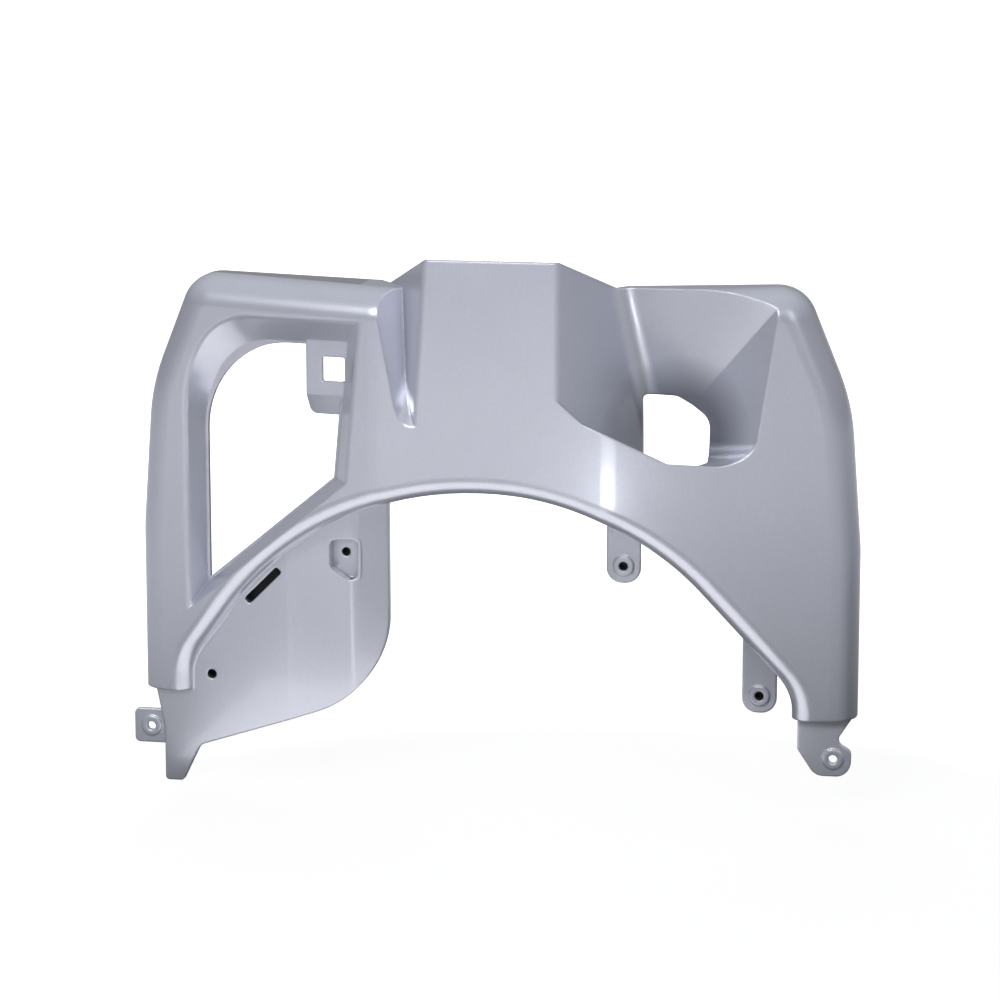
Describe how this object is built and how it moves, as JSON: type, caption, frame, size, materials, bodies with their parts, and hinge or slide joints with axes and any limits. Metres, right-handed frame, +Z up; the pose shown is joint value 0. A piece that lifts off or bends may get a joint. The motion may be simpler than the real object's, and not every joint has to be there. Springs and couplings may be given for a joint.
{
  "type": "scooter inner panel",
  "caption": "Moulded inner leg-shield panel of a scooter with a wide arch, glove box frame, key recess, side apron and screw tabs.",
  "frame": {"origin": "midway between the two lower screw holes, on the front of their ears", "axes": "+X to the panel's right as seen by the rider, +Y away from the rider, +Z up"},
  "size_m": [0.54, 0.0728, 0.4015],
  "materials": {
    "silver_paint": "silver metallic paint under clear coat, on moulded plastic"
  },
  "bodies": {
    "root": {"inner_panel": "silver_paint"}
  },
  "joints": []
}
